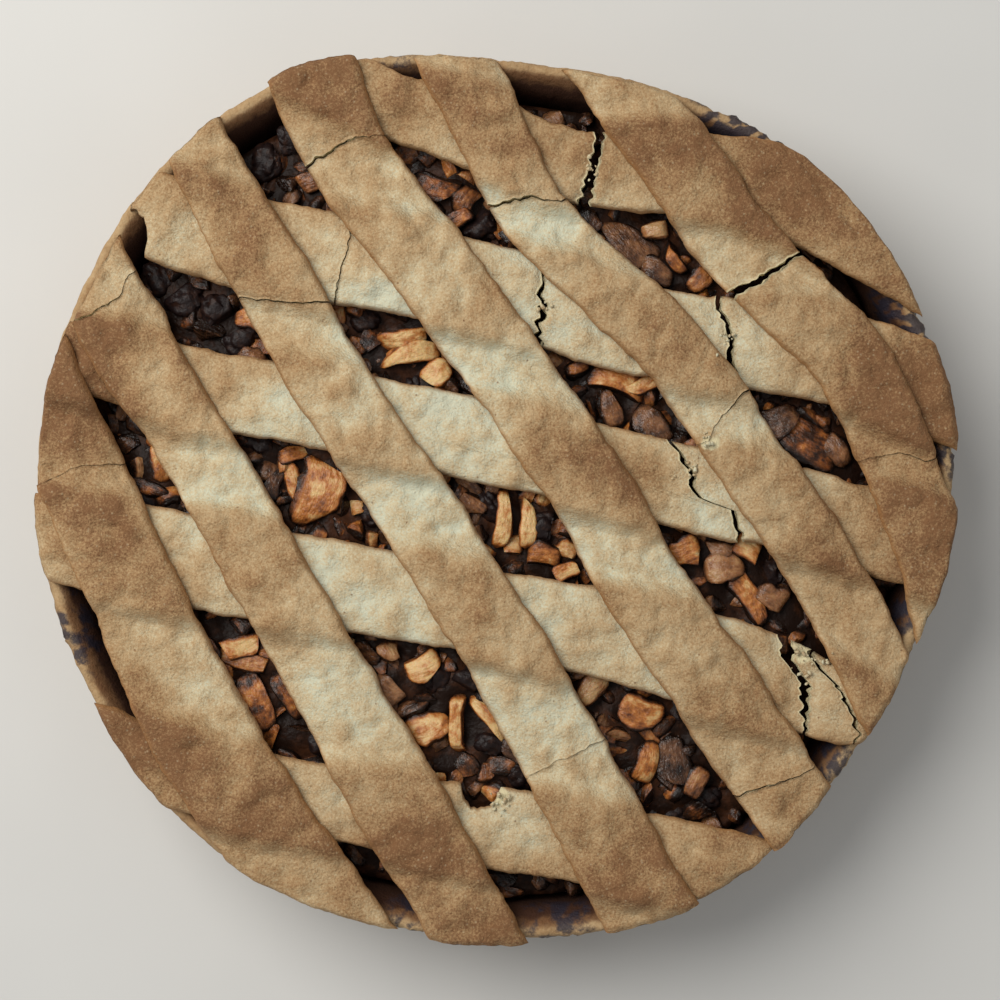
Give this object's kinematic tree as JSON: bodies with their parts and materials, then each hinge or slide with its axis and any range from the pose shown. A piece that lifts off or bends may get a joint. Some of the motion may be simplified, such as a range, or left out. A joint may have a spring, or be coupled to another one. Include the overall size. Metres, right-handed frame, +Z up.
{
  "type": "apple pie",
  "caption": "Round deep apple pie turned out of its tin, with a lattice of browned shortcrust strips over a chopped apple and raisin filling.",
  "frame": {"origin": "on the flat underside, below the middle of the pie", "axes": "+Z up out of the pie; +Y towards the edge that is at the top of the picture, +X to its right"},
  "size_m": [0.2613, 0.2523, 0.0572],
  "materials": {
    "baked_shell": "baked shortcrust, browned and dry, fine crumb",
    "lower_dough": "pale baked shortcrust, dry and grainy",
    "upper_dough": "baked shortcrust, pale in the dips and browned on the rises",
    "cooked_filling": "moist cooked apple and dark raisins in syrup"
  },
  "bodies": {
    "root": {"crust_shell": "baked_shell", "filling": "cooked_filling", "lower_strip_1_a": "lower_dough", "lower_strip_1_b": "lower_dough", "lower_strip_2_a": "lower_dough", "lower_strip_2_b": "lower_dough", "lower_strip_3_a": "lower_dough", "lower_strip_3_b": "lower_dough", "lower_strip_4_a": "lower_dough", "lower_strip_4_b": "lower_dough", "lower_strip_5": "lower_dough", "upper_strip_1": "upper_dough", "upper_strip_2": "upper_dough", "upper_strip_3": "upper_dough", "upper_strip_4": "upper_dough", "upper_strip_5_a": "upper_dough", "upper_strip_5_b": "upper_dough", "upper_strip_6_a": "upper_dough", "upper_strip_6_b": "upper_dough"}
  },
  "joints": []
}
